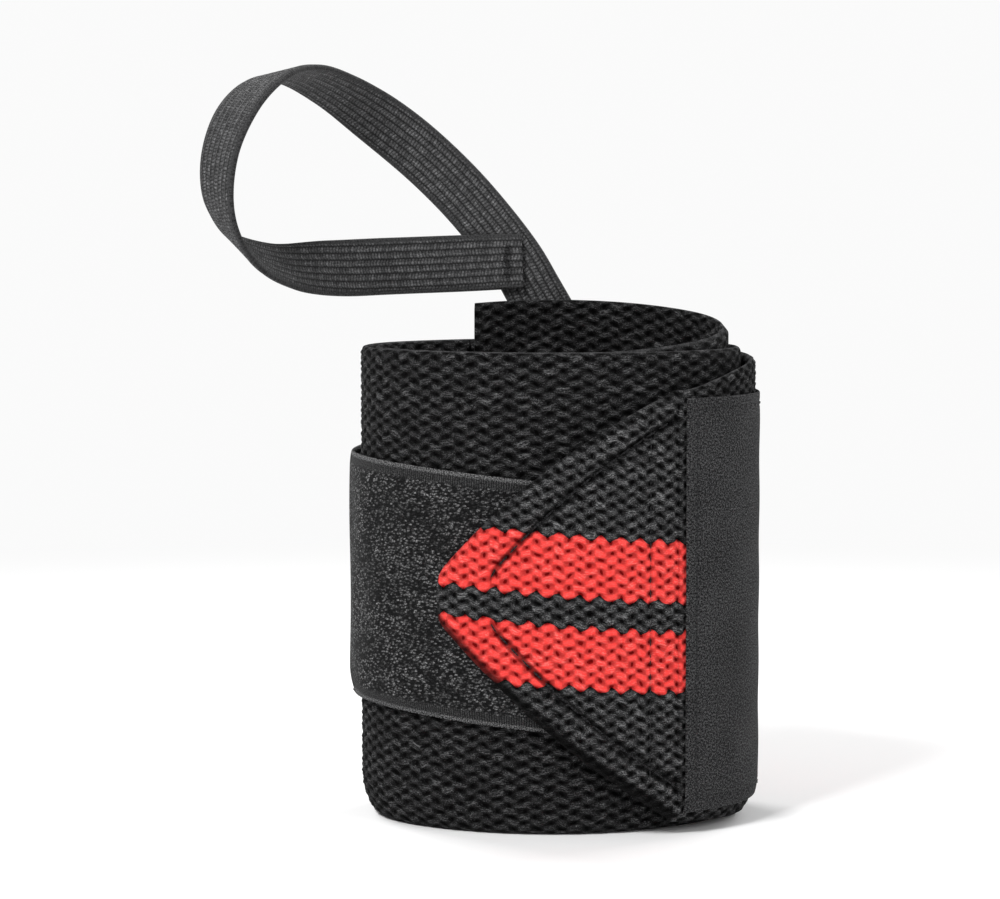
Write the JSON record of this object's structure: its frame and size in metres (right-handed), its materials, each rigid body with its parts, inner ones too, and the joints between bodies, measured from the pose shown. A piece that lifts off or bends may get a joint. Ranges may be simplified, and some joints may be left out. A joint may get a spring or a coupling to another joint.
{
  "type": "wrist support brace",
  "caption": "Elastic wrist wrap wound as worn, with a thumb loop, a pointed end flap and a hook strap that closes on a loop patch.",
  "frame": {"origin": "on the wrist tunnel's axis, in the plane of the lower edge", "axes": "+Z along the wrist towards the fingers, +X to the little-finger side, -Y to the back of the hand"},
  "size_m": [0.0957, 0.0593, 0.1282],
  "materials": {
    "webbing_black": "coarse woven elastic webbing, matt",
    "webbing_red": "coarse woven elastic webbing, matt",
    "panel_fabric": "fine smooth weave, matt",
    "hook_tape": "woven hook tape with smooth selvages",
    "hooks": "nylon hooks",
    "loop_tape": "fuzzy nylon loop pile",
    "elastic": "braided elastic with lengthwise ribs",
    "thread": "polyester sewing thread"
  },
  "bodies": {
    "wrap": {"inner_turn": "webbing_black", "inner_turn_stripes": "webbing_red", "middle_turn": "webbing_black", "middle_turn_stripes": "webbing_red", "outer_turn": "webbing_black", "outer_turn_stripes": "webbing_red", "end_panel": "panel_fabric", "panel_seam": "thread", "loop_patch": "loop_tape", "patch_seam": "thread", "thumb_loop_tab": "elastic", "tab_bartacks": "thread"},
    "flap": {"pointed_flap": "webbing_black", "flap_stripes": "webbing_red", "folded_hem_upper": "webbing_black", "folded_hem_lower": "webbing_black", "flap_seams": "thread", "cross_seam": "thread", "strap_base": "hook_tape"},
    "strap": {"hook_strap": "hook_tape"},
    "strap_tip": {"strap_end": "hook_tape", "hook_pad": "hooks"},
    "thumb_loop": {"thumb_loop": "elastic"}
  },
  "joints": [
    {"name": "flap_lift", "type": "hinge", "parent": "wrap", "child": "flap", "pos_m": [0.02034, -0.02409, 0.04], "axis": [0, 0, 1], "range_deg": [0, 70]},
    {"name": "strap_lift", "type": "hinge", "parent": "flap", "child": "strap", "pos_m": [-0.0218, -0.02131, 0.041], "axis": [0, 0, 1], "range_deg": [0, 90]},
    {"name": "strap_end_lift", "type": "hinge", "parent": "strap", "child": "strap_tip", "pos_m": [-0.03533, -0.00063, 0.041], "axis": [0, 0, 1], "range_deg": [0, 60]},
    {"name": "thumb_loop_fold", "type": "hinge", "parent": "wrap", "child": "thumb_loop", "pos_m": [-0.00384, 0.02218, 0.08762], "axis": [1, 0, 0], "range_deg": [-60, 50]}
  ]
}
